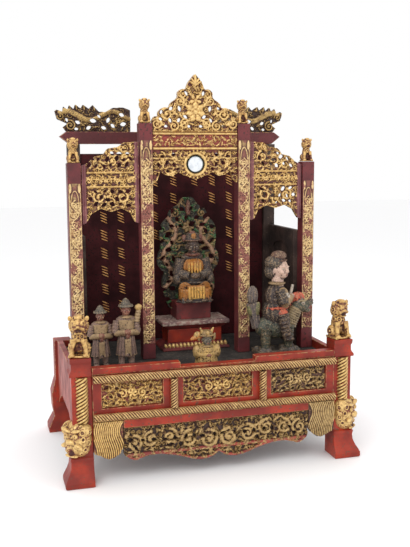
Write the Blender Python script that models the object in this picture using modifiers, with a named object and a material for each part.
"""Altar shrine: a carved, lacquered and gilded wooden shrine on a low stand, with its figures.

Metres. X runs to the right, Y to the back, Z up. The origin is on the ground, at the middle of the
stand. Every separate piece of the real shrine is one object here, and touching pieces keep a gap of
0.3 mm.
"""

from math import cos, pi, radians, sin

import bmesh
import bpy
from mathutils import Matrix, Vector

# Driving dimensions of the stand
GAP = 0.0003
STAND_HALF_WIDTH = 0.2020
STAND_HALF_DEPTH = 0.1310
LEG_SIZE = 0.0370
ANKLE_SIZE = 0.0285
POST_SIZE = 0.0255
FOOT_HEIGHT = 0.0370
KNEE_TOP = 0.0830
POST_TOP = 0.1415
PLINTH_TOP = 0.1650
POST_LION_HEIGHT = 0.0535
LEG_ROPE_RADIUS = 0.0080

# Frieze between the front legs
FRIEZE_BOTTOM = 0.0832
FRIEZE_TOP = 0.1432
FRIEZE_THICKNESS = 0.0110
ROPE_RADIUS = 0.0050
ROPE_PITCH = 0.0120
MIDDLE_OPENING_HALF = 0.0470
SIDE_OPENING_INNER = 0.0740
SIDE_OPENING_MARGIN = 0.0120
OPENING_BOTTOM = 0.0985
OPENING_TOP = 0.1325
PANEL_THICKNESS = 0.0060
TOP_RAIL_DEPTH = 0.0130
TOP_RAIL_LOW = 0.0024
TOP_RAIL_HIGH = 0.0085
TOP_RAIL_STEP_X = 0.0510

# Below the frieze
LOWER_RAIL_HEIGHT = 0.0110
APRON_HALF_WIDTH = 0.1265
MANE_DROP = 0.0504
APRON_THICKNESS = 0.0080
SIDE_BOARD_THICKNESS = 0.0080
SIDE_BOARD_EDGE = 0.0560
FLOOR_TOP = 0.1320
FLOOR_THICKNESS = 0.0060

# Shrine on the floor
COLUMN_SIZE = 0.0180
COLUMN_FRONT_Y = -0.0195
OUTER_COLUMN_OFFSET = 0.0025
INNER_COLUMN_X = 0.0697
OUTER_COLUMN_TOP = 0.4050
INNER_COLUMN_TOP = 0.4580
OUTER_PLAIN_BLOCK = 0.0270
INNER_PLAIN_BLOCK = 0.0230
COLUMN_LION_HEIGHT = 0.0330
COLUMN_LION_WIDTH = 0.0175
RELIEF_DEPTH = 0.0015
PEDIMENT_BOTTOM = 0.4462
PEDIMENT_RISE = 0.0790
PEDIMENT_THICKNESS = 0.0080
BOARD_TOP = 0.4459
BOARD_HEIGHT = 0.0240
MOULDING_HEIGHT = 0.0034
SPANDREL_DROP = 0.0380
SPANDREL_THICKNESS = 0.0060
MIRROR_Z = 0.4025
MIRROR_RADIUS = 0.0118
MIRROR_THICKNESS = 0.0030
VALANCE_THICKNESS = 0.0060
VALANCE_BOTTOM = 0.3400
VALANCE_MOULDING_LOW = 0.3730
VALANCE_MOULDING_HIGH = 0.3920
VALANCE_TOP = 0.4335
STILE_BOTTOM = 0.3225
STILE_WIDTH = 0.0072

# Back of the shrine
BACK_POST_SIZE = 0.0180
BACK_POST_INSET_X = 0.0125
BACK_POST_OFFSET_Y = 0.0155
BACK_POST_TOP = 0.4320
BACK_WALL_TOP = 0.4180
BACK_WALL_THICKNESS = 0.0080
SIDE_WALL_TOP = 0.3060
SIDE_WALL_THICKNESS = 0.0080
BEAM_HEIGHT = 0.0180
BEAM_THICKNESS = 0.0120
BEAM_OVERHANG = 0.0197
BEAM_OFFSET_Y = 0.0030
DRAGON_THICKNESS = 0.0080
DRAGON_LENGTH = 0.1130
DRAGON_HEIGHT = 0.0400

# Loose figures
THRONE_X = 0.0085
THRONE_Y = 0.0440
PEDESTAL_WIDTH = 0.1020
PEDESTAL_DEPTH = 0.0580
PEDESTAL_HEIGHT = 0.0430
SEAT_WIDTH = 0.0520
SEAT_DEPTH = 0.0300
SEAT_HEIGHT = 0.0250
THRONE_BACK_HEIGHT = 0.1710
THRONE_BACK_HALF_WIDTH = 0.0510
THRONE_BACK_THICKNESS = 0.0080
DEITY_HEIGHT = 0.1060
GUARDIAN_HEIGHT = 0.0550
ATTENDANT_HEIGHTS = (0.0840, 0.0930)
ATTENDANT_INSETS = ((0.0270, 0.0180), (0.0605, 0.0255))
GUARDIAN_INSET = (-0.0060, 0.0237)
RIDER_HEIGHT = 0.1480
RIDER_INSET = (0.0550, 0.0175)

INNER_FACE_X = STAND_HALF_WIDTH - LEG_SIZE
INNER_FACE_Y = STAND_HALF_DEPTH - LEG_SIZE
FRIEZE_FRONT_Y = -(STAND_HALF_DEPTH - 2 * ROPE_RADIUS - GAP)
FRIEZE_BACK_Y = FRIEZE_FRONT_Y + FRIEZE_THICKNESS
SIDE_OPENING_OUTER = INNER_FACE_X - SIDE_OPENING_MARGIN
OUTER_COLUMN_X = INNER_FACE_X + OUTER_COLUMN_OFFSET
BACK_POST_X = INNER_FACE_X - BACK_POST_INSET_X
BACK_POST_Y = INNER_FACE_Y + BACK_POST_OFFSET_Y
BEAM_HALF_LENGTH = BACK_POST_X + BEAM_OVERHANG
BEAM_Y = BACK_POST_Y + BEAM_OFFSET_Y
RELIEF_ROOT = 0.0012
RELIEF_EDGE = 0.0004


def clear_scene():
    """Removes the objects that the file starts with."""
    for thing in list(bpy.data.objects):
        bpy.data.objects.remove(thing, do_unlink=True)


def new_collection(name):
    collection = bpy.data.collections.new(name)
    bpy.context.scene.collection.children.link(collection)
    return collection


def new_material(name, colour, roughness, metallic=0.0):
    material = bpy.data.materials.new(name)
    material.use_nodes = True
    shader = material.node_tree.nodes["Principled BSDF"]
    shader.inputs["Base Color"].default_value = (*colour, 1.0)
    shader.inputs["Roughness"].default_value = roughness
    shader.inputs["Metallic"].default_value = metallic
    return material


clear_scene()
SHRINE = new_collection("altar_shrine")
RED = new_material("red_lacquer", (0.42, 0.055, 0.035), 0.42)
MAROON = new_material("maroon_lacquer", (0.20, 0.030, 0.030), 0.45)
GOLD = new_material("worn_gold", (0.62, 0.42, 0.14), 0.40, 0.8)
DARK = new_material("dark_wood", (0.055, 0.030, 0.025), 0.55)
GREY = new_material("grey_board", (0.075, 0.070, 0.065), 0.70)
PAINT = new_material("painted_wood", (0.26, 0.16, 0.13), 0.60)
GREEN = new_material("painted_green", (0.10, 0.20, 0.12), 0.55)
GLASS = new_material("mirror_glass", (0.85, 0.87, 0.88), 0.08, 1.0)


# Shape helpers


def add_object(name, mesh, material=None, smooth=False):
    """Puts a mesh in the shrine's collection under a piece's own name."""
    mesh.name = name
    thing = bpy.data.objects.new(name, mesh)
    SHRINE.objects.link(thing)
    if material is not None:
        mesh.materials.clear()
        mesh.materials.append(material)
    if smooth:
        mesh.shade_smooth()
        mesh.set_sharp_from_angle(angle=radians(35))
    return thing


def mesh_of(form, name="shape"):
    """Turns a bmesh into a mesh with its faces pointing out."""
    bmesh.ops.recalc_face_normals(form, faces=form.faces)
    mesh = bpy.data.meshes.new(name)
    form.to_mesh(mesh)
    form.free()
    return mesh


def evaluated_mesh(thing):
    """The mesh that an object's modifiers or curve settings give, in world space."""
    bpy.context.view_layer.update()
    graph = bpy.context.evaluated_depsgraph_get()
    mesh = bpy.data.meshes.new_from_object(thing.evaluated_get(graph))
    mesh.transform(thing.matrix_world)
    return mesh


def box(name, low, high, material=None):
    """A block between two corners."""
    form = bmesh.new()
    size = Vector(high) - Vector(low)
    middle = (Vector(high) + Vector(low)) / 2
    bmesh.ops.create_cube(form, size=1.0, matrix=Matrix.LocRotScale(middle, None, size))
    return add_object(name, mesh_of(form), material)


def plate(name, loops, thickness, y, material=None):
    """A flat piece in the XZ plane: the first loop is its outline and the others are its holes."""
    curve = bpy.data.curves.new(name, "CURVE")
    curve.dimensions = "2D"
    curve.fill_mode = "BOTH"
    curve.extrude = thickness / 2
    for loop in loops:
        spline = curve.splines.new("POLY")
        spline.points.add(len(loop) - 1)
        for point, (across, up) in zip(spline.points, loop):
            point.co = (across, up, 0.0, 1.0)
        spline.use_cyclic_u = True
    guide = bpy.data.objects.new(name + "_outline", curve)
    SHRINE.objects.link(guide)
    guide.matrix_world = Matrix.Translation((0, y, 0)) @ Matrix.Rotation(pi / 2, 4, "X")
    mesh = evaluated_mesh(guide)
    bpy.data.objects.remove(guide)
    form = bmesh.new()
    form.from_mesh(mesh)
    bmesh.ops.remove_doubles(form, verts=form.verts, dist=0.00001)
    return add_object(name, mesh_of(form), material)


def loft(rings):
    """A closed body through rings of points, each ring with the same number of points."""
    form = bmesh.new()
    rows = [[form.verts.new(point) for point in ring] for ring in rings]
    count = len(rows[0])
    sides = []
    for below, above in zip(rows, rows[1:]):
        for i in range(count):
            j = (i + 1) % count
            sides.append(form.faces.new((below[i], below[j], above[j], above[i])))
    bmesh.ops.triangulate(form, faces=sides)
    form.faces.new(rows[0])
    form.faces.new(rows[-1])
    return mesh_of(form)


def union(name, pieces, material=None, solver="EXACT"):
    """One closed body out of pieces that overlap."""
    first = pieces[0]
    for other in pieces[1:]:
        joined = first.modifiers.new("join", "BOOLEAN")
        joined.operation = "UNION"
        joined.solver = solver
        joined.object = other
    mesh = evaluated_mesh(first)
    for piece in pieces:
        bpy.data.objects.remove(piece)
    form = bmesh.new()
    form.from_mesh(mesh)
    bmesh.ops.remove_doubles(form, verts=form.verts, dist=0.00001)
    bmesh.ops.dissolve_degenerate(form, edges=form.edges, dist=0.00001)
    bmesh.ops.triangulate(form, faces=form.faces)
    return add_object(name, mesh_of(form), material)


def mirrored(loop):
    """A loop reflected in the middle plane."""
    return [(-x, z) for x, z in reversed(loop)]


def both_sides(half):
    """A whole outline from its right half, which runs from the middle line to the middle line."""
    left = [(-x, z) for x, z in reversed(half) if x > 1e-6]
    return half + left


def leaf(start, end, bend, width, steps=3):
    """A pointed leaf from start to end. Bend and width are shares of its length."""
    start = Vector(start)
    run = Vector(end) - start
    side = Vector((-run.y, run.x))
    upper = []
    lower = []
    for step in range(1, steps):
        share = step / steps
        swell = sin(pi * share)
        spine = start + run * share + side * (bend * swell)
        upper.append(tuple(spine + side * (width / 2 * swell)))
        lower.append(tuple(spine - side * (width / 2 * swell)))
    return [tuple(start), *lower, tuple(end), *reversed(upper)]


def leaf_at(x, z, length, angle, bend=0.12, width=0.5, steps=3):
    """A leaf by its middle, its length and its angle in degrees."""
    half = Vector((cos(radians(angle)), sin(radians(angle)))) * (length / 2)
    middle = Vector((x, z))
    return leaf(middle - half, middle + half, bend, width, steps)


def raised(loop, face, height):
    """A low faceted boss over a loop, standing on a face that looks to the front."""
    form = bmesh.new()
    count = len(loop)
    root = [form.verts.new((x, face + RELIEF_ROOT, z)) for x, z in loop]
    edge = [form.verts.new((x, face - RELIEF_EDGE, z)) for x, z in loop]
    middle_x = sum(x for x, z in loop) / count
    middle_z = sum(z for x, z in loop) / count
    peak = form.verts.new((middle_x, face - height, middle_z))
    for i in range(count):
        j = (i + 1) % count
        form.faces.new((root[i], root[j], edge[j], edge[i]))
        form.faces.new((edge[i], edge[j], peak))
    form.faces.new(root)
    return add_object("boss", mesh_of(form))


def flower(x, z, radius, petals):
    """A loop with as many lobes as petals."""
    loop = []
    for i in range(2 * petals):
        reach = radius if i % 2 == 0 else radius * 0.62
        angle = pi / 2 + pi * i / petals
        loop.append((x + reach * cos(angle), z + reach * sin(angle)))
    return loop


class Clay:
    """Overlapping round and square lumps that a carver's form is blocked out from."""

    def __init__(self):
        self.form = bmesh.new()

    def ball(self, centre, radii, turn=(0, 0, 0)):
        shape = Matrix.LocRotScale(Vector(centre), euler(turn), Vector(radii))
        bmesh.ops.create_uvsphere(self.form, u_segments=14, v_segments=9, radius=1.0, matrix=shape)

    def pair(self, centre, radii, turn=(0, 0, 0)):
        x, y, z = centre
        self.ball((x, y, z), radii, turn)
        self.ball((-x, y, z), radii, (turn[0], -turn[1], -turn[2]))

    def block(self, centre, size, turn=(0, 0, 0)):
        shape = Matrix.LocRotScale(Vector(centre), euler(turn), Vector(size))
        bmesh.ops.create_cube(self.form, size=1.0, matrix=shape)

    def limb(self, start, end, radius_start, radius_end):
        start = Vector(start)
        run = Vector(end) - start
        turn = Vector((0, 0, 1)).rotation_difference(run.normalized())
        shape = Matrix.LocRotScale(start + run / 2, turn, None)
        bmesh.ops.create_cone(
            self.form,
            cap_ends=True,
            segments=12,
            radius1=radius_start,
            radius2=radius_end,
            depth=run.length,
            matrix=shape,
        )

    def limbs(self, start, end, radius_start, radius_end):
        self.limb(start, end, radius_start, radius_end)
        self.limb((-start[0], *start[1:]), (-end[0], *end[1:]), radius_start, radius_end)

    def carve(self, name, place, triangles, voxel, material=None, stand_on=None):
        """One closed body of about so many triangles, at its place."""
        mesh = bpy.data.meshes.new(name)
        self.form.to_mesh(mesh)
        self.form.free()
        mesh.transform(place)
        rough = add_object("rough", mesh)
        skin = rough.modifiers.new("skin", "REMESH")
        skin.mode = "VOXEL"
        skin.voxel_size = voxel
        fine = evaluated_mesh(rough)
        count = sum(len(face.vertices) - 2 for face in fine.polygons)
        facets = rough.modifiers.new("facets", "DECIMATE")
        facets.ratio = triangles / count
        mesh = evaluated_mesh(rough)
        bpy.data.objects.remove(rough)
        form = bmesh.new()
        form.from_mesh(mesh)
        bmesh.ops.triangulate(form, faces=form.faces)
        if stand_on is not None:
            lowest = min(point.co.z for point in form.verts)
            bmesh.ops.translate(form, verts=form.verts, vec=(0, 0, stand_on - lowest))
        return add_object(name, mesh_of(form), material, smooth=True)


def euler(turn):
    return Matrix.Rotation(radians(turn[2]), 3, "Z").to_quaternion() @ (
        Matrix.Rotation(radians(turn[1]), 3, "Y").to_quaternion()
        @ Matrix.Rotation(radians(turn[0]), 3, "X").to_quaternion()
    )


def at(x, y, z, scale, turn=0.0, mirror=False):
    """A place for a form made at unit height on its own origin, looking to the front."""
    flip = Matrix.Diagonal((-1 if mirror else 1, 1, 1, 1))
    return (
        Matrix.Translation((x, y, z))
        @ Matrix.Rotation(radians(turn), 4, "Z")
        @ Matrix.Scale(scale, 4)
        @ flip
    )


# Stand


def leg_rings(profile, side_x, side_y):
    """Square rings of a leg: each size is measured out from the leg's two inner faces."""
    rings = []
    for height, size in profile:
        near_x = side_x * INNER_FACE_X
        near_y = side_y * INNER_FACE_Y
        far_x = side_x * (INNER_FACE_X + size)
        far_y = side_y * (INNER_FACE_Y + size)
        corners = [(near_x, near_y), (far_x, near_y), (far_x, far_y), (near_x, far_y)]
        rings.append([(x, y, height) for x, y in corners])
    return rings


def leg_profile(front):
    knee = POST_SIZE + 0.003
    profile = [
        (0.0, LEG_SIZE),
        (FOOT_HEIGHT * 0.18, LEG_SIZE),
        (FOOT_HEIGHT * 0.40, LEG_SIZE - 0.0035),
        (FOOT_HEIGHT * 0.70, ANKLE_SIZE),
        (FOOT_HEIGHT, ANKLE_SIZE + 0.002),
        ((FOOT_HEIGHT + KNEE_TOP) / 2, knee + (0.0 if front else 0.003)),
        (KNEE_TOP, POST_SIZE),
        (POST_TOP, POST_SIZE),
    ]
    if front:
        profile += [
            (POST_TOP + 0.0004, POST_SIZE + 0.0030),
            (POST_TOP + 0.0040, POST_SIZE + 0.0030),
            (POST_TOP + 0.0065, POST_SIZE + 0.0008),
            (PLINTH_TOP - 0.0020, POST_SIZE + 0.0008),
            (PLINTH_TOP, POST_SIZE + 0.0016),
        ]
    return profile


def knee_mask(side_x):
    """A lion's mask on the knee, with its nose along the leg's outer diagonal."""
    clay = Clay()
    clay.ball((0, 0, 0.50), (0.43, 0.43, 0.50))
    clay.pair((0.20, -0.40, 0.74), (0.15, 0.11, 0.12))
    clay.ball((0, -0.46, 0.52), (0.17, 0.14, 0.13))
    clay.pair((0.20, -0.40, 0.36), (0.18, 0.14, 0.13))
    clay.ball((0, -0.38, 0.18), (0.24, 0.14, 0.12))
    clay.pair((0.42, -0.10, 0.55), (0.10, 0.16, 0.26))
    reach = POST_SIZE * 0.60
    width = reach / 0.44
    height = KNEE_TOP - FOOT_HEIGHT
    centre_x = side_x * (INNER_FACE_X + reach)
    centre_y = -(INNER_FACE_Y + reach)
    place = at(centre_x, centre_y, FOOT_HEIGHT, width, 45 * side_x)
    place = place @ Matrix.Diagonal((1, 1, height / width, 1))
    return clay.carve("mask", place, 170, 0.0012)


def spiral_shaft(side_x):
    """The rope-carved round shaft on the front of a front leg."""
    height = POST_TOP - KNEE_TOP + 0.002
    steps = 12
    strands = 3
    rings = []
    for step in range(steps + 1):
        z = KNEE_TOP - 0.001 + height * step / steps
        ring = []
        for corner in range(2 * strands):
            radius = LEG_ROPE_RADIUS * (1.0 if corner % 2 == 0 else 0.84)
            angle = pi * corner / strands + side_x * step * pi / 6
            x = side_x * (INNER_FACE_X + POST_SIZE / 2) + radius * cos(angle)
            y = -(INNER_FACE_Y + POST_SIZE) + radius * sin(angle)
            ring.append((x, y, z))
        rings.append(ring)
    return add_object("shaft", loft(rings))


def make_leg(name, side_x, side_y):
    front = side_y < 0
    body = add_object("body", loft(leg_rings(leg_profile(front), side_x, side_y)))
    if not front:
        body.name = name
        body.data.name = name
        body.data.materials.append(RED)
        return body
    return union(name, [body, knee_mask(side_x), spiral_shaft(side_x)], RED)


def seated_lion(name, x, y, z, height, triangles, turn=0.0):
    """A small seated guardian lion that looks to the front, mouth open, paws apart."""
    clay = Clay()
    clay.block((0, 0.01, 0.025), (0.50, 0.44, 0.05))
    clay.pair((0.15, 0.08, 0.17), (0.11, 0.17, 0.16))
    clay.ball((0, 0.04, 0.36), (0.19, 0.17, 0.30))
    clay.ball((0, -0.06, 0.42), (0.15, 0.12, 0.18))
    clay.limbs((0.16, -0.15, 0.0), (0.12, -0.08, 0.42), 0.065, 0.085)
    clay.pair((0.17, -0.17, 0.06), (0.08, 0.08, 0.06))
    clay.ball((0, -0.05, 0.74), (0.20, 0.17, 0.19))
    clay.ball((0, 0.02, 0.73), (0.25, 0.17, 0.24))
    clay.ball((0, -0.18, 0.69), (0.14, 0.07, 0.07))
    clay.ball((0, -0.16, 0.58), (0.11, 0.07, 0.05))
    clay.pair((0.09, -0.18, 0.81), (0.07, 0.05, 0.05))
    clay.pair((0.19, -0.02, 0.88), (0.06, 0.06, 0.07))
    clay.ball((0, -0.04, 0.92), (0.13, 0.11, 0.08))
    place = at(x, y, z, height, turn)
    return clay.carve(name, place, triangles, height * 0.024, GOLD, stand_on=z)


def frieze_opening(low_x, high_x, inset=0.0):
    low_z = OPENING_BOTTOM + inset
    high_z = OPENING_TOP - inset
    low_x = low_x + inset
    high_x = high_x - inset
    return [(low_x, low_z), (high_x, low_z), (high_x, high_z), (low_x, high_z)]


def opening_spans():
    return {
        "left": (-SIDE_OPENING_OUTER, -SIDE_OPENING_INNER),
        "middle": (-MIDDLE_OPENING_HALF, MIDDLE_OPENING_HALF),
        "right": (SIDE_OPENING_INNER, SIDE_OPENING_OUTER),
    }


def make_frieze():
    half = INNER_FACE_X - GAP
    outline = [(-half, FRIEZE_BOTTOM), (half, FRIEZE_BOTTOM), (half, FRIEZE_TOP), (-half, FRIEZE_TOP)]
    holes = [frieze_opening(*span) for span in opening_spans().values()]
    middle_y = (FRIEZE_FRONT_Y + FRIEZE_BACK_Y) / 2
    plate("frieze_frame", [outline, *holes], FRIEZE_THICKNESS, middle_y, RED)
    for side, span in opening_spans().items():
        leaf_panel("frieze_panel_" + side, *span, middle_y)


def leaf_panel(name, low_x, high_x, y):
    """A pierced panel of leaves: holes in three rows, with raised leaves between them."""
    outline = frieze_opening(low_x, high_x, GAP)
    width = high_x - low_x
    height = OPENING_TOP - OPENING_BOTTOM
    middle_x = (low_x + high_x) / 2
    middle_z = (OPENING_BOTTOM + OPENING_TOP) / 2
    holes = []
    for row in (-1, 0, 1):
        count = 2 if row == 0 else 4
        for i in range(count):
            share = 0.43 * (2 * i - 1) if row == 0 else ((i + 0.5) / 4 - 0.5) * 0.94
            x = middle_x + width * share
            z = middle_z + row * height * 0.31
            tilt = 28 if (i + row) % 2 == 0 else -32
            holes.append(leaf_at(x, z, 0.0110, tilt + 8 * row, 0.15, 0.50))
    base = plate("panel", [outline, *holes], PANEL_THICKNESS, y)
    face = y - PANEL_THICKNESS / 2
    leaves = [raised(flower(middle_x, middle_z, 0.0046, 4), face, 0.0016)]
    for side in (-1, 1):
        for across, angle in ((0.12, 14), (0.36, -20)):
            x = middle_x + side * width * across
            loop = leaf_at(x, middle_z, 0.0108, angle * side, 0.0, 0.36, 2)
            leaves.append(raised(loop, face, 0.0016))
    return union(name, [base, *leaves], GOLD, "MANIFOLD")


def rope(name, start, end, material=GOLD):
    """A twisted moulding: a four-strand rod whose square section turns as it runs."""
    start = Vector(start)
    run = Vector(end) - start
    along = run.normalized()
    front = Vector((0, -1, 0))
    side = along.cross(front)
    strands = max(2, round(run.length / ROPE_PITCH))
    rings = []
    for step in range(2 * strands + 1):
        centre = start + run * step / (2 * strands)
        ring = []
        for corner in range(4):
            angle = pi / 2 * corner + pi / 4 * step
            ring.append(centre + (front * cos(angle) + side * sin(angle)) * ROPE_RADIUS)
        rings.append(ring)
    return add_object(name, loft(rings), material)


def make_ropes():
    y = -(STAND_HALF_DEPTH - ROPE_RADIUS)
    half = INNER_FACE_X - 2 * GAP
    low = FRIEZE_BOTTOM + ROPE_RADIUS + GAP
    high = FRIEZE_TOP - ROPE_RADIUS - GAP
    rope("rope_bottom", (-half, y, low), (half, y, low))
    rope("rope_top", (-half, y, high), (half, y, high))
    between = (MIDDLE_OPENING_HALF + SIDE_OPENING_INNER) / 2
    for side, sign in (("left", -1), ("right", 1)):
        x = sign * between
        start = (x, y, low + ROPE_RADIUS + GAP)
        end = (x, y, high - ROPE_RADIUS - GAP)
        rope("rope_upright_" + side, start, end)


def make_top_rail():
    half = INNER_FACE_X - GAP
    base = FRIEZE_TOP + GAP
    low = base + TOP_RAIL_LOW
    high = base + TOP_RAIL_HIGH
    step = TOP_RAIL_STEP_X
    outline = both_sides([(half, base), (half, high), (step, high), (step, low)])
    y = FRIEZE_BACK_Y - TOP_RAIL_DEPTH / 2
    plate("top_rail", [outline], TOP_RAIL_DEPTH, y, RED)


def make_under_frieze():
    top = FRIEZE_BOTTOM - GAP
    rail_bottom = top - LOWER_RAIL_HEIGHT
    front = FRIEZE_FRONT_Y - 0.004
    back = FRIEZE_FRONT_Y + 0.008
    box("lower_rail", (-APRON_HALF_WIDTH, front, rail_bottom), (APRON_HALF_WIDTH, back, top), RED)
    apron_top = rail_bottom - GAP
    make_apron(apron_top, front + 0.0015 + APRON_THICKNESS / 2)
    for name, side in (("mane_block_left", -1), ("mane_block_right", 1)):
        near = APRON_HALF_WIDTH + GAP
        far = INNER_FACE_X - GAP
        span = far - near
        loop = [
            (near, top),
            (near, top - MANE_DROP * 0.69),
            (near + span * 0.14, top - MANE_DROP * 0.88),
            (near + span * 0.50, top - MANE_DROP),
            (near + span * 0.80, top - MANE_DROP * 0.88),
            (far, top - MANE_DROP * 0.83),
            (far, top),
        ]
        if side < 0:
            loop = mirrored(loop)
        block = plate("block", [loop], 0.0120, front + 0.0060)
        ribs = []
        for i in range(4):
            share = (i + 0.85) / 4.7
            x = side * (near + span * share)
            foot = (x, top - MANE_DROP * 0.77)
            rib = leaf(foot, (x - side * span * 0.04, top - 0.002), 0.05 * side, 0.16)
            ribs.append(raised(rib, front, 0.0016))
        union(name, [block, *ribs], GOLD)


def apron_edge():
    """The scalloped lower edge, from the middle to the right, across in shares of the half width."""
    shares = [
        (0.000, 0.0278),
        (0.063, 0.0212),
        (0.170, 0.0188),
        (0.273, 0.0202),
        (0.395, 0.0258),
        (0.526, 0.0305),
        (0.696, 0.0337),
        (0.814, 0.0302),
        (0.885, 0.0266),
        (0.949, 0.0302),
    ]
    return [(APRON_HALF_WIDTH * across, z) for across, z in shares]


def make_apron(top, y):
    """The openwork apron: scrolls left between pierced holes, over a scalloped edge."""
    edge = apron_edge() + [(APRON_HALF_WIDTH, 0.0350), (APRON_HALF_WIDTH, top)]
    outline = both_sides(edge)
    holes = []
    for i in range(4):
        x = APRON_HALF_WIDTH * (i + 0.45) / 4.15
        low = 0.0300 + 0.0075 * i / 3
        tilt = 38 - 76 * (i % 2)
        for sign in (-1, 1):
            holes.append(leaf_at(sign * (x + 0.003), top - 0.0075, 0.0170, sign * -16, 0.12, 0.36))
            holes.append(leaf_at(sign * x, low + 0.0065, 0.0125, sign * tilt, 0.18, 0.44))
    middle = leaf_at(0.0, top - 0.0210, 0.0110, 90, 0.0, 0.5)
    base = plate("base", [outline, *holes, middle], APRON_THICKNESS, y)
    face = y - APRON_THICKNESS / 2
    scrolls = []
    for i in range(3):
        x = APRON_HALF_WIDTH * (i + 0.97) / 4.15
        z = top - 0.0195 + 0.0020 * i
        for sign in (-1, 1):
            loop = leaf_at(sign * x, z, 0.0170, sign * (62 - 30 * (i % 2)), 0.0, 0.40, 2)
            scrolls.append(raised(loop, face, 0.0020))
    return union("apron", [base, *scrolls], GOLD, "MANIFOLD")


def make_stand_boards():
    """Plain boards that close the stand's sides and back, and the floor."""
    top = FRIEZE_TOP
    outer_x = INNER_FACE_X + POST_SIZE - 0.0040
    half_y = INNER_FACE_Y - GAP
    low = FRIEZE_BOTTOM - LOWER_RAIL_HEIGHT
    floor_low = FLOOR_TOP - FLOOR_THICKNESS
    for name, sign in (("stand_side_left", -1), ("stand_side_right", 1)):
        inner = sign * (outer_x - SIDE_BOARD_THICKNESS)
        outer = sign * outer_x
        loop = [
            (-half_y, top),
            (-half_y, SIDE_BOARD_EDGE - 0.010),
            (-half_y + 0.012, SIDE_BOARD_EDGE),
            (-half_y + 0.050, low),
            (half_y - 0.050, low),
            (half_y - 0.012, SIDE_BOARD_EDGE),
            (half_y, SIDE_BOARD_EDGE - 0.010),
            (half_y, top),
        ]
        board = plate(name, [loop], SIDE_BOARD_THICKNESS, 0.0, RED)
        board.data.transform(Matrix.Rotation(pi / 2, 4, "Z"))
        board.data.transform(Matrix.Translation(((inner + outer) / 2, 0, 0)))
    back_y = INNER_FACE_Y + POST_SIZE - 0.0040
    half_x = INNER_FACE_X - GAP
    loop = [
        (-half_x, top),
        (-half_x, SIDE_BOARD_EDGE - 0.010),
        (-half_x + 0.012, SIDE_BOARD_EDGE),
        (-half_x + 0.060, low),
        (half_x - 0.060, low),
        (half_x - 0.012, SIDE_BOARD_EDGE),
        (half_x, SIDE_BOARD_EDGE - 0.010),
        (half_x, top),
    ]
    y = back_y - SIDE_BOARD_THICKNESS / 2
    plate("stand_back", [[(x, min(z, floor_low - GAP)) for x, z in loop]], SIDE_BOARD_THICKNESS, y, RED)
    wide = outer_x - SIDE_BOARD_THICKNESS - GAP
    narrow = INNER_FACE_X - GAP
    deep = INNER_FACE_Y - GAP
    front = FRIEZE_BACK_Y + GAP
    back = back_y + 0.0020
    outline = [
        (narrow, front),
        (narrow, -deep),
        (wide, -deep),
        (wide, deep),
        (narrow, deep),
        (narrow, back),
        (-narrow, back),
        (-narrow, deep),
        (-wide, deep),
        (-wide, -deep),
        (-narrow, -deep),
        (-narrow, front),
    ]
    floor = plate("floor_board", [outline], FLOOR_THICKNESS, 0.0, GREY)
    floor.data.transform(Matrix.Rotation(-pi / 2, 4, "X"))
    floor.data.transform(Matrix.Translation((0, 0, (floor_low + FLOOR_TOP) / 2)))


def make_stand():
    make_leg("leg_front_left", -1, -1)
    make_leg("leg_front_right", 1, -1)
    make_leg("leg_back_left", -1, 1)
    make_leg("leg_back_right", 1, 1)
    for name, sign in (("post_lion_left", -1), ("post_lion_right", 1)):
        x = sign * (INNER_FACE_X + POST_SIZE / 2)
        y = -(INNER_FACE_Y + POST_SIZE / 2)
        seated_lion(name, x, y, PLINTH_TOP + GAP, POST_LION_HEIGHT, 220, 12 * sign)
    make_frieze()
    make_ropes()
    make_top_rail()
    make_under_frieze()
    make_stand_boards()


# Shrine


def make_column(name, x, top, plain_block, low_plain):
    """A rectangular column: plain at head and foot, with a raised winding stem and leaves between."""
    bottom = FLOOR_TOP + GAP
    half = COLUMN_SIZE / 2
    shaft = box("shaft", (x - half, COLUMN_FRONT_Y, bottom), (x + half, COLUMN_FRONT_Y + COLUMN_SIZE, top))
    low = bottom + low_plain
    high = top - plain_block
    waves = max(2, round((high - low) / 0.052))
    steps = waves * 2
    right = []
    left = []
    for step in range(steps + 1):
        z = low + (high - low) * step / steps
        sway = 0.0050 if step % 2 == 0 else -0.0050
        right.append((x + sway + 0.0014, z))
        left.append((x + sway - 0.0014, z))
    stem_loop = right + list(reversed(left))
    stem = plate("stem", [stem_loop], RELIEF_DEPTH * 2, COLUMN_FRONT_Y)
    leaves = []
    for step in range(1, steps):
        z = low + (high - low) * step / steps
        sign = -1 if step % 2 == 0 else 1
        loop = leaf_at(x + sign * 0.0040, z, 0.0170, 90 + 14 * sign, 0.0, 0.40, 2)
        leaves.append(raised(loop, COLUMN_FRONT_Y, RELIEF_DEPTH))
    return union(name, [shaft, stem, *leaves], MAROON)


def make_columns():
    for side, sign in (("left", -1), ("right", 1)):
        make_column("column_outer_" + side, sign * OUTER_COLUMN_X, OUTER_COLUMN_TOP, OUTER_PLAIN_BLOCK, 0.030)
        make_column("column_inner_" + side, sign * INNER_COLUMN_X, INNER_COLUMN_TOP, INNER_PLAIN_BLOCK, 0.022)
        y = COLUMN_FRONT_Y + COLUMN_SIZE / 2 - 0.0010
        for row, x, top in (("outer", OUTER_COLUMN_X, OUTER_COLUMN_TOP), ("inner", INNER_COLUMN_X, INNER_COLUMN_TOP)):
            name = "column_lion_" + row + "_" + side
            lion = seated_lion(name, sign * x, y, top + GAP, COLUMN_LION_HEIGHT, 130)
            fit_width(lion, sign * x, COLUMN_LION_WIDTH)


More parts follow.
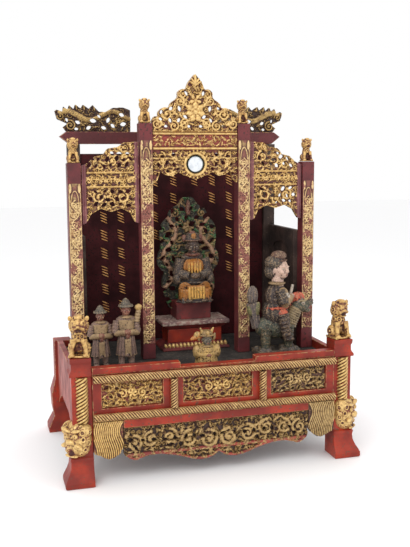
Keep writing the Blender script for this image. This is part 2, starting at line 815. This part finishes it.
def fit_width(piece, x, width):
    """Stretches a carved piece about its own middle to an exact width."""
    reach = max(abs(point.co.x - x) for point in piece.data.vertices)
    middle = Matrix.Translation((x, 0, 0))
    stretch = Matrix.Diagonal((width / 2 / reach, 1, 1, 1))
    piece.data.transform(middle @ stretch @ middle.inverted())


def bay_half():
    return INNER_COLUMN_X - COLUMN_SIZE / 2 - GAP


def pediment_half():
    """The right half of the crest's stepped leaf outline, from its base to its tip."""
    wide = bay_half()
    rise = PEDIMENT_RISE
    base = PEDIMENT_BOTTOM
    shares = [
        (1.00, 0.00),
        (1.00, 0.17),
        (0.96, 0.28),
        (0.86, 0.25),
        (0.88, 0.34),
        (0.74, 0.43),
        (0.62, 0.40),
        (0.58, 0.50),
        (0.40, 0.58),
        (0.42, 0.68),
        (0.31, 0.74),
        (0.22, 0.72),
        (0.17, 0.84),
        (0.08, 0.92),
    ]
    return [(wide * across, base + rise * up) for across, up in shares]


def make_pediment():
    half = pediment_half()
    tip = (0.0, PEDIMENT_BOTTOM + PEDIMENT_RISE)
    outline = half + [tip] + [(-x, z) for x, z in reversed(half)]
    wide = bay_half()
    holes = []
    for across, up, length, angle in (
        (0.22, 0.10, 0.0110, 25),
        (0.50, 0.10, 0.0110, -25),
        (0.78, 0.12, 0.0120, 40),
        (0.36, 0.28, 0.0100, 75),
        (0.62, 0.27, 0.0100, -40),
        (0.26, 0.47, 0.0100, 60),
        (0.17, 0.63, 0.0090, -50),
    ):
        x = wide * across
        z = PEDIMENT_BOTTOM + PEDIMENT_RISE * up
        holes.append(leaf_at(x, z, length, angle, 0.14, 0.46))
        holes.append(leaf_at(-x, z, length, 180 - angle, -0.14, 0.46))
    y = COLUMN_FRONT_Y + 0.0020 + PEDIMENT_THICKNESS / 2
    base = plate("base", [outline, *holes], PEDIMENT_THICKNESS, y)
    face = y - PEDIMENT_THICKNESS / 2
    leaves = []
    fan_z = PEDIMENT_BOTTOM + PEDIMENT_RISE * 0.80
    for angle, length, lift in ((90, 0.0240, 0.0030), (140, 0.0150, -0.0050), (40, 0.0150, -0.0050)):
        x = cos(radians(angle)) * 0.0090
        loop = leaf_at(x, fan_z + lift, length, angle, 0.0, 0.30)
        leaves.append(raised(loop, face, 0.0030))
    lobes = flower(0.0, PEDIMENT_BOTTOM + PEDIMENT_RISE * 0.36, 0.0130, 6)
    leaves.append(raised(lobes, face, 0.0030))
    for side in (-1, 1):
        x = side * wide * 0.50
        z = PEDIMENT_BOTTOM + PEDIMENT_RISE * 0.20
        leaves.append(raised(leaf_at(x, z, 0.0160, -20 * side, 0.0, 0.34, 2), face, 0.0022))
    return union("pediment", [base, *leaves], GOLD, "MANIFOLD")


def make_frieze_board():
    """The board under the pediment: its section, with two half-round mouldings, runs across the bay."""
    top = BOARD_TOP
    bottom = top - BOARD_HEIGHT
    front = COLUMN_FRONT_Y + 0.0025
    back = front + 0.0090
    swell = 0.0022
    section = [
        (back, bottom),
        (front, bottom),
        (front - swell, bottom + MOULDING_HEIGHT * 0.3),
        (front - swell, bottom + MOULDING_HEIGHT * 0.7),
        (front, bottom + MOULDING_HEIGHT),
        (front, top - MOULDING_HEIGHT),
        (front - swell, top - MOULDING_HEIGHT * 0.7),
        (front - swell, top - MOULDING_HEIGHT * 0.3),
        (front, top),
        (back, top),
    ]
    wide = bay_half()
    rings = [[(x, y, z) for y, z in section] for x in (-wide, wide)]
    base = add_object("base", loft(rings))
    leaves = []
    for i in range(8):
        x = wide * ((i + 0.5) / 4 - 1)
        loop = leaf_at(x, (top + bottom) / 2, 0.0130, 35 if i % 2 else -35, 0.0, 0.45, 2)
        leaves.append(raised(loop, front, 0.0015))
    return union("frieze_board", [base, *leaves], MAROON)


def circle(x, z, radius, count, start=0.0):
    return [
        (x + radius * cos(start + 2 * pi * i / count), z + radius * sin(start + 2 * pi * i / count))
        for i in range(count)
    ]


def make_mirror_spandrel():
    top = BOARD_TOP - BOARD_HEIGHT - GAP
    wide = bay_half()
    drop = SPANDREL_DROP
    edge = [
        (0.000, top - drop - 0.0035),
        (0.0060, top - drop),
        (0.0170, top - drop + 0.0035),
        (0.0245, top - drop + 0.0075),
        (0.0330, top - drop + 0.0020),
        (0.0430, top - drop + 0.0040),
        (0.0500, top - drop + 0.0090),
        (0.0540, top - drop - 0.0030),
        (wide, top - drop - 0.0090),
        (wide, top),
    ]
    outline = both_sides(edge)
    holes = [circle(0.0, MIRROR_Z, MIRROR_RADIUS + GAP, 16)]
    for x, z, length, angle in (
        (0.0310, 0.0115, 0.0110, -12),
        (0.0460, 0.0090, 0.0100, 20),
        (0.0330, 0.0265, 0.0090, 60),
        (0.0440, 0.0240, 0.0105, -50),
    ):
        holes.append(leaf_at(x, top - z, length, angle, 0.14, 0.48))
        holes.append(leaf_at(-x, top - z, length, 180 - angle, -0.14, 0.48))
    y = COLUMN_FRONT_Y + 0.0030 + SPANDREL_THICKNESS / 2
    base = plate("base", [outline, *holes], SPANDREL_THICKNESS, y)
    face = y - SPANDREL_THICKNESS / 2
    petals = []
    for i in range(8):
        turn = 45 * i + 22.5
        x = cos(radians(turn)) * 0.0168
        z = MIRROR_Z + sin(radians(turn)) * 0.0168
        petals.append(raised(leaf_at(x, z, 0.0080, turn, 0.0, 1.0, 2), face, 0.0018))
    union("mirror_spandrel", [base, *petals], GOLD)
    glass_y = face + 0.0006 + MIRROR_THICKNESS / 2
    plate("mirror", [circle(0.0, MIRROR_Z, MIRROR_RADIUS, 16)], MIRROR_THICKNESS, glass_y, GLASS)


def valance_loops():
    """Outline and holes of the right side bay's pierced valance, with its stiles and brackets."""
    near = INNER_COLUMN_X + COLUMN_SIZE / 2 + GAP
    far = OUTER_COLUMN_X - COLUMN_SIZE / 2 - GAP
    width = far - near
    crest = VALANCE_TOP - VALANCE_MOULDING_HIGH
    outline = [
        (near, STILE_BOTTOM),
        (near + STILE_WIDTH, STILE_BOTTOM + 0.002),
        (near + STILE_WIDTH + 0.0060, VALANCE_BOTTOM - 0.0030),
        (near + width * 0.32, VALANCE_BOTTOM + 0.0035),
        (near + width * 0.50, VALANCE_BOTTOM - 0.0010),
        (near + width * 0.68, VALANCE_BOTTOM + 0.0035),
        (far - STILE_WIDTH - 0.0060, VALANCE_BOTTOM - 0.0030),
        (far - STILE_WIDTH + 0.0015, STILE_BOTTOM + 0.002),
        (far, STILE_BOTTOM),
        (far, VALANCE_TOP - crest * 0.78),
        (near + width * 0.88, VALANCE_TOP - crest * 0.68),
        (near + width * 0.76, VALANCE_TOP - crest * 0.48),
        (near + width * 0.62, VALANCE_TOP - crest * 0.42),
        (near + width * 0.54, VALANCE_TOP - crest * 0.22),
        (near + width * 0.36, VALANCE_TOP - crest * 0.17),
        (near + width * 0.26, VALANCE_TOP - crest * 0.03),
        (near, VALANCE_TOP),
    ]
    holes = []
    low_z = (VALANCE_BOTTOM + VALANCE_MOULDING_LOW) / 2
    for across, z, length, angle in (
        (0.24, low_z + 0.0070, 0.0110, 30),
        (0.50, low_z + 0.0080, 0.0100, -20),
        (0.76, low_z + 0.0070, 0.0110, -30),
        (0.30, low_z - 0.0050, 0.0100, -40),
        (0.70, low_z - 0.0050, 0.0100, 40),
        (0.22, VALANCE_MOULDING_HIGH + crest * 0.22, 0.0095, 40),
        (0.42, VALANCE_MOULDING_HIGH + crest * 0.20, 0.0095, -35),
        (0.62, VALANCE_MOULDING_HIGH + crest * 0.21, 0.0095, 35),
        (0.82, VALANCE_MOULDING_HIGH + crest * 0.17, 0.0085, -30),
        (0.24, VALANCE_MOULDING_HIGH + crest * 0.57, 0.0100, -30),
        (0.44, VALANCE_MOULDING_HIGH + crest * 0.50, 0.0095, 30),
    ):
        holes.append(leaf_at(near + width * across, z, length, angle, 0.14, 0.50))
    return outline, holes


def make_valance(name, side):
    outline, holes = valance_loops()
    if side < 0:
        outline = mirrored(outline)
        holes = [mirrored(hole) for hole in holes]
    y = COLUMN_FRONT_Y + 0.0040 + VALANCE_THICKNESS / 2
    base = plate("base", [outline, *holes], VALANCE_THICKNESS, y)
    face = y - VALANCE_THICKNESS / 2
    near = INNER_COLUMN_X + COLUMN_SIZE / 2 + STILE_WIDTH
    far = OUTER_COLUMN_X - COLUMN_SIZE / 2 - STILE_WIDTH
    low_x = min(side * near, side * far)
    high_x = max(side * near, side * far)
    bars = []
    for z in (VALANCE_MOULDING_LOW, VALANCE_MOULDING_HIGH):
        bars.append(box("bar", (low_x, face - 0.0020, z - 0.0013), (high_x, face + 0.002, z + 0.0013)))
    return union(name, [base, *bars], GOLD)


def make_back():
    """Posts, walls, beam and dragons behind the columns."""
    bottom = FLOOR_TOP + GAP
    half = BACK_POST_SIZE / 2
    inner = BACK_POST_X - half
    for side, sign in (("left", -1), ("right", 1)):
        x = sign * BACK_POST_X
        low = (x - half, BACK_POST_Y - half, bottom)
        high = (x + half, BACK_POST_Y + half, BACK_POST_TOP)
        box("back_post_" + side, low, high, DARK)
        wall_front = COLUMN_FRONT_Y + COLUMN_SIZE + GAP
        wall_back = BACK_POST_Y - half - GAP
        make_side_wall("side_wall_" + side, sign, wall_front, wall_back, bottom)
    half_wall = BACK_WALL_THICKNESS / 2
    low = (-(inner - GAP), BACK_POST_Y - half_wall, bottom)
    high = (inner - GAP, BACK_POST_Y + half_wall, BACK_WALL_TOP)
    box("back_wall", low, high, DARK)
    beam_low = BACK_POST_TOP + GAP
    beam_high = beam_low + BEAM_HEIGHT
    tip = BEAM_HALF_LENGTH
    profile = [
        (tip - 0.014, beam_low),
        (tip, (beam_low + beam_high) / 2 + 0.002),
        (tip - 0.010, beam_high),
    ]
    plate("roof_beam", [both_sides(profile)], BEAM_THICKNESS, BEAM_Y, MAROON)
    for name, sign in (("dragon_left", -1), ("dragon_right", 1)):
        make_dragon(name, sign, beam_high + GAP, BEAM_Y)


def make_side_wall(name, sign, front, back, bottom):
    """A framed wall whose arched panel is sunk into its inner face."""
    depth = back - front
    middle_y = (front + back) / 2
    half = depth / 2
    outline = [(-half, bottom), (half, bottom), (half, SIDE_WALL_TOP), (-half, SIDE_WALL_TOP)]
    board = plate("board", [outline], SIDE_WALL_THICKNESS, 0.0)
    inset = 0.016
    panel = [
        (-half + inset, bottom + inset),
        (half - inset, bottom + inset),
        (half - inset, SIDE_WALL_TOP - 0.034),
        (half - inset * 1.5, SIDE_WALL_TOP - 0.026),
        (0.0, SIDE_WALL_TOP - 0.020),
        (-half + inset * 1.5, SIDE_WALL_TOP - 0.026),
        (-half + inset, SIDE_WALL_TOP - 0.034),
    ]
    recess = plate("recess", [panel], 0.004, -SIDE_WALL_THICKNESS / 2)
    cut = board.modifiers.new("sunk_panel", "BOOLEAN")
    cut.operation = "DIFFERENCE"
    cut.object = recess
    mesh = evaluated_mesh(board)
    bpy.data.objects.remove(board)
    bpy.data.objects.remove(recess)
    wall = add_object(name, mesh, DARK)
    wall.data.transform(Matrix.Rotation(-sign * pi / 2, 4, "Z"))
    wall.data.transform(Matrix.Translation((sign * (BACK_POST_X + 0.004), middle_y, 0)))
    return wall


def make_dragon(name, sign, bottom, y):
    """A pierced dragon on the beam: its head at the outer end, spines along its back."""
    length = DRAGON_LENGTH
    height = DRAGON_HEIGHT
    inner = BEAM_HALF_LENGTH + 0.0060 - length
    shares = [
        (0.00, 0.00),
        (0.86, 0.00),
        (0.90, 0.16),
        (0.84, 0.28),
        (0.97, 0.44),
        (1.00, 0.74),
        (0.97, 0.80),
        (0.90, 0.72),
        (0.885, 0.92),
        (0.83, 0.80),
        (0.81, 0.97),
        (0.75, 0.83),
        (0.73, 1.00),
        (0.66, 0.85),
        (0.63, 0.99),
        (0.55, 0.84),
        (0.50, 0.98),
        (0.42, 0.74),
        (0.34, 0.72),
        (0.24, 0.88),
        (0.10, 0.90),
        (0.00, 0.80),
    ]
    outline = [(inner + length * along, bottom + height * up) for along, up in shares]
    holes = []
    for along, up, size, angle in (
        (0.12, 0.60, 0.0110, 15),
        (0.12, 0.30, 0.0120, -10),
        (0.30, 0.46, 0.0100, -60),
        (0.40, 0.22, 0.0120, 20),
        (0.54, 0.56, 0.0130, 8),
        (0.60, 0.26, 0.0100, -50),
        (0.74, 0.48, 0.0110, 25),
    ):
        x = inner + length * along
        holes.append(leaf_at(x, bottom + height * up, size, angle, 0.12, 0.44))
    if sign < 0:
        outline = mirrored(outline)
        holes = [mirrored(hole) for hole in holes]
    return plate(name, [outline, *holes], DRAGON_THICKNESS, y, GOLD)


# Loose figures


def make_pedestal():
    """The waisted pedestal: a stack of rectangular steps."""
    bottom = FLOOR_TOP + GAP
    profile = [
        (0.00, 0.000),
        (0.08, 0.000),
        (0.20, 0.006),
        (0.24, 0.010),
        (0.70, 0.010),
        (0.78, 0.006),
        (0.86, 0.001),
        (0.90, 0.000),
        (1.00, 0.000),
    ]
    rings = []
    for share, inset in profile:
        half_x = PEDESTAL_WIDTH / 2 - inset
        half_y = PEDESTAL_DEPTH / 2 - inset
        z = bottom + PEDESTAL_HEIGHT * share
        corners = [(-half_x, -half_y), (half_x, -half_y), (half_x, half_y), (-half_x, half_y)]
        rings.append([(THRONE_X + x, THRONE_Y + y, z) for x, y in corners])
    base = add_object("base", loft(rings))
    face = THRONE_Y - PEDESTAL_DEPTH / 2 + 0.010
    leaves = []
    for i in range(5):
        x = THRONE_X + PEDESTAL_WIDTH * (i - 2) / 6.2
        loop = leaf_at(x, bottom + PEDESTAL_HEIGHT * 0.47, 0.0120, 0, 0.0, 0.55, 2)
        leaves.append(raised(loop, face, 0.0016))
    return union("pedestal", [base, *leaves], RED)


def throne_half():
    """The right half of the openwork back: a broad lobed outline, from its foot to its tip."""
    wide = THRONE_BACK_HALF_WIDTH
    high = THRONE_BACK_HEIGHT
    shares = [
        (0.42, 0.00),
        (0.62, 0.04),
        (0.74, 0.14),
        (0.82, 0.26),
        (0.74, 0.34),
        (0.96, 0.42),
        (0.90, 0.52),
        (0.80, 0.56),
        (0.88, 0.68),
        (0.80, 0.78),
        (0.62, 0.82),
        (0.54, 0.90),
        (0.30, 0.93),
        (0.16, 1.00),
    ]
    return [(wide * across, high * up) for across, up in shares]


def make_throne():
    """Seat block and openwork back, joined as one piece of furniture."""
    base_z = FLOOR_TOP + GAP + PEDESTAL_HEIGHT + GAP
    seat_back = THRONE_Y + 0.0170
    seat_low = (THRONE_X - SEAT_WIDTH / 2, seat_back - SEAT_DEPTH, base_z)
    seat_high = (THRONE_X + SEAT_WIDTH / 2, seat_back + 0.004, base_z + SEAT_HEIGHT)
    seat = box("seat", seat_low, seat_high)
    half = throne_half()
    back_foot = base_z + SEAT_HEIGHT * 0.30
    outline = [(THRONE_X + x, back_foot + z) for x, z in half]
    outline += [(THRONE_X - x, back_foot + z) for x, z in reversed(half)]
    holes = []
    for across, up, length, angle in (
        (0.58, 0.26, 0.0140, 70),
        (0.62, 0.44, 0.0130, 40),
        (0.56, 0.60, 0.0140, 100),
        (0.50, 0.76, 0.0120, 140),
        (0.18, 0.86, 0.0110, 30),
    ):
        x = THRONE_BACK_HALF_WIDTH * across
        z = back_foot + THRONE_BACK_HEIGHT * up
        holes.append(leaf_at(THRONE_X + x, z, length, angle, 0.14, 0.46))
        holes.append(leaf_at(THRONE_X - x, z, length, 180 - angle, -0.14, 0.46))
    back_y = seat_back + 0.0040 - THRONE_BACK_THICKNESS / 2 + 0.004
    back = plate("back", [outline, *holes], THRONE_BACK_THICKNESS, back_y)
    face = back_y - THRONE_BACK_THICKNESS / 2
    coils = []
    for across, up, length, angle in ((0.72, 0.36, 0.024, 75), (0.70, 0.66, 0.026, 110), (0.36, 0.88, 0.022, 155)):
        for sign in (-1, 1):
            x = THRONE_X + sign * THRONE_BACK_HALF_WIDTH * across
            z = back_foot + THRONE_BACK_HEIGHT * up
            turn = angle if sign > 0 else 180 - angle
            coils.append(raised(leaf_at(x, z, length, turn, 0.0, 0.30, 2), face, 0.0034))
    return union("throne", [seat, back, *coils], GREEN)


def make_deity():
    """The seated figure, hands at its waist, robe over its knees and a tall cap."""
    clay = Clay()
    clay.ball((0, 0.00, 0.30), (0.20, 0.14, 0.24))
    clay.ball((0, 0.00, 0.46), (0.19, 0.12, 0.17))
    clay.ball((0, 0.00, 0.60), (0.17, 0.11, 0.10))
    clay.limbs((0.18, 0.0, 0.60), (0.22, -0.03, 0.38), 0.075, 0.075)
    clay.limbs((0.22, -0.03, 0.38), (0.08, -0.14, 0.36), 0.070, 0.055)
    clay.ball((0, -0.15, 0.37), (0.09, 0.05, 0.05))
    clay.limbs((0.10, 0.0, 0.20), (0.15, -0.15, 0.19), 0.10, 0.095)
    clay.limbs((0.15, -0.15, 0.19), (0.13, -0.16, 0.02), 0.095, 0.085)
    clay.block((0, -0.12, 0.10), (0.34, 0.14, 0.18))
    clay.pair((0.11, -0.20, 0.03), (0.06, 0.08, 0.03))
    clay.limb((0, 0, 0.62), (0, -0.01, 0.74), 0.075, 0.075)
    clay.ball((0, -0.02, 0.80), (0.115, 0.12, 0.125))
    clay.ball((0, -0.135, 0.79), (0.025, 0.03, 0.035))
    clay.limb((0, 0.0, 0.86), (0, 0.0, 0.98), 0.125, 0.085)
    clay.pair((0.12, 0.0, 0.89), (0.035, 0.03, 0.05))
    z = FLOOR_TOP + GAP + PEDESTAL_HEIGHT + GAP + SEAT_HEIGHT + GAP
    place = at(THRONE_X + 0.0015, THRONE_Y - 0.0010, z, DEITY_HEIGHT)
    return clay.carve("deity", place, 360, 0.0018, PAINT, stand_on=z)


def make_guardian():
    """The small gilded figure with a horned cap and a streamer at its right shoulder."""
    clay = Clay()
    clay.limb((0, 0, 0.0), (0, 0, 0.40), 0.30, 0.24)
    clay.ball((0, -0.02, 0.42), (0.26, 0.19, 0.20))
    clay.pair((0.24, -0.04, 0.40), (0.11, 0.12, 0.16))
    clay.ball((0, -0.20, 0.36), (0.12, 0.07, 0.09))
    clay.ball((0, -0.03, 0.72), (0.17, 0.17, 0.18))
    clay.ball((0, -0.18, 0.70), (0.04, 0.05, 0.05))
    clay.limb((0, 0.0, 0.78), (0, 0.0, 0.90), 0.19, 0.15)
    clay.limbs((0.11, -0.04, 0.86), (0.17, -0.06, 1.0), 0.05, 0.025)
    clay.pair((0.19, 0.0, 0.72), (0.05, 0.05, 0.09))
    clay.limb((-0.17, 0.02, 0.80), (-0.40, 0.0, 0.70), 0.10, 0.03)
    x = GUARDIAN_INSET[0]
    y = FRIEZE_BACK_Y + GUARDIAN_INSET[1]
    z = FLOOR_TOP + GAP
    return clay.carve("guardian_figure", at(x, y, z, GUARDIAN_HEIGHT), 260, 0.0012, GOLD, stand_on=z)


def make_attendant(name, index, raised_hand):
    """A standing attendant in a belted coat over bare legs, with a brimmed cap."""
    clay = Clay()
    clay.limbs((0.075, 0.0, 0.0), (0.070, 0.0, 0.24), 0.050, 0.062)
    clay.pair((0.080, -0.045, 0.025), (0.050, 0.085, 0.028))
    clay.limb((0, 0, 0.16), (0, 0, 0.48), 0.150, 0.115)
    clay.limb((0, 0, 0.46), (0, 0, 0.70), 0.120, 0.135)
    clay.ball((0, 0, 0.69), (0.150, 0.100, 0.070))
    clay.limbs((0.135, 0, 0.68), (0.165, -0.02, 0.50), 0.055, 0.055)
    clay.limb((0.165, -0.02, 0.50), (0.03, -0.12, 0.52), 0.055, 0.042)
    if raised_hand:
        clay.limb((0.150, -0.03, 0.66), (0.185, -0.05, 0.84), 0.050, 0.035)
        clay.ball((0.180, -0.05, 0.87), (0.060, 0.045, 0.055))
    clay.limb((-0.165, -0.02, 0.50), (-0.03, -0.12, 0.52), 0.055, 0.042)
    clay.ball((0, -0.12, 0.52), (0.055, 0.040, 0.050))
    clay.limb((0, 0, 0.70), (0, 0, 0.79), 0.055, 0.055)
    clay.ball((0, -0.01, 0.84), (0.082, 0.088, 0.092))
    clay.ball((0, -0.095, 0.83), (0.018, 0.020, 0.024))
    clay.limb((0, 0, 0.885), (0, 0, 0.915), 0.115, 0.105)
    clay.limb((0, 0, 0.905), (0, 0, 1.0), 0.085, 0.035)
    height = ATTENDANT_HEIGHTS[index]
    x = ATTENDANT_INSETS[index][0] - OUTER_COLUMN_X
    y = COLUMN_FRONT_Y - ATTENDANT_INSETS[index][1]
    z = FLOOR_TOP + GAP
    return clay.carve(name, at(x, y, z, height), 300, 0.0015, PAINT, stand_on=z)


def make_rider():
    """A robed rider on a scaled beast that looks to the right, carved with its ground as one."""
    clay = Clay()
    clay.block((0, 0, 0.025), (0.44, 0.24, 0.05))
    clay.ball((-0.02, 0, 0.26), (0.20, 0.10, 0.12))
    clay.limb((-0.13, -0.06, 0.04), (-0.12, -0.05, 0.26), 0.040, 0.058)
    clay.limb((-0.09, 0.06, 0.04), (-0.10, 0.05, 0.26), 0.040, 0.058)
    clay.limb((0.11, -0.06, 0.04), (0.11, -0.05, 0.28), 0.040, 0.055)
    clay.limb((0.15, 0.06, 0.04), (0.12, 0.05, 0.28), 0.040, 0.055)
    clay.limb((0.12, 0, 0.28), (0.20, -0.01, 0.44), 0.085, 0.070)
    clay.ball((0.235, -0.02, 0.455), (0.095, 0.065, 0.065))
    clay.ball((0.315, -0.02, 0.475), (0.065, 0.045, 0.028))
    clay.ball((0.300, -0.02, 0.405), (0.050, 0.040, 0.022))
    clay.ball((0.355, -0.02, 0.500), (0.022, 0.030, 0.022))
    clay.ball((0.175, 0.0, 0.53), (0.045, 0.035, 0.060))
    clay.limb((0.20, -0.05, 0.49), (0.26, -0.06, 0.525), 0.020, 0.014)
    clay.limb((-0.20, 0.0, 0.26), (-0.25, 0.01, 0.50), 0.045, 0.055)
    clay.ball((-0.24, 0.01, 0.57), (0.050, 0.040, 0.095))
    clay.ball((-0.01, 0, 0.40), (0.13, 0.115, 0.14))
    clay.limb((0.03, -0.10, 0.40), (0.07, -0.12, 0.17), 0.060, 0.045)
    clay.limb((0.03, 0.10, 0.40), (0.07, 0.11, 0.17), 0.060, 0.045)
    clay.ball((0.00, 0, 0.55), (0.115, 0.105, 0.135))
    clay.limb((0.00, -0.10, 0.63), (0.03, -0.13, 0.50), 0.050, 0.050)
    clay.limb((0.03, -0.13, 0.50), (0.13, -0.05, 0.55), 0.048, 0.036)
    clay.limb((0.00, 0.10, 0.63), (0.13, 0.03, 0.55), 0.050, 0.036)
    clay.limb((0.12, -0.01, 0.53), (0.165, -0.01, 0.66), 0.020, 0.016)
    clay.limb((0.01, 0, 0.66), (0.015, 0, 0.78), 0.065, 0.060)
    clay.ball((0.03, -0.01, 0.83), (0.100, 0.090, 0.105))
    clay.ball((-0.01, 0.0, 0.88), (0.110, 0.095, 0.085))
    clay.ball((0.02, 0.0, 0.95), (0.080, 0.070, 0.050))
    x = OUTER_COLUMN_X - RIDER_INSET[0]
    y = COLUMN_FRONT_Y - RIDER_INSET[1]
    z = FLOOR_TOP + GAP
    return clay.carve("rider_on_beast", at(x, y, z, RIDER_HEIGHT), 560, 0.0020, PAINT, stand_on=z)


def make_shrine():
    make_columns()
    make_pediment()
    make_frieze_board()
    make_mirror_spandrel()
    make_valance("valance_left", -1)
    make_valance("valance_right", 1)
    make_back()
    make_pedestal()
    make_throne()
    make_deity()
    make_guardian()
    make_attendant("attendant_left", 0, False)
    make_attendant("attendant_right", 1, True)
    make_rider()


make_stand()
make_shrine()
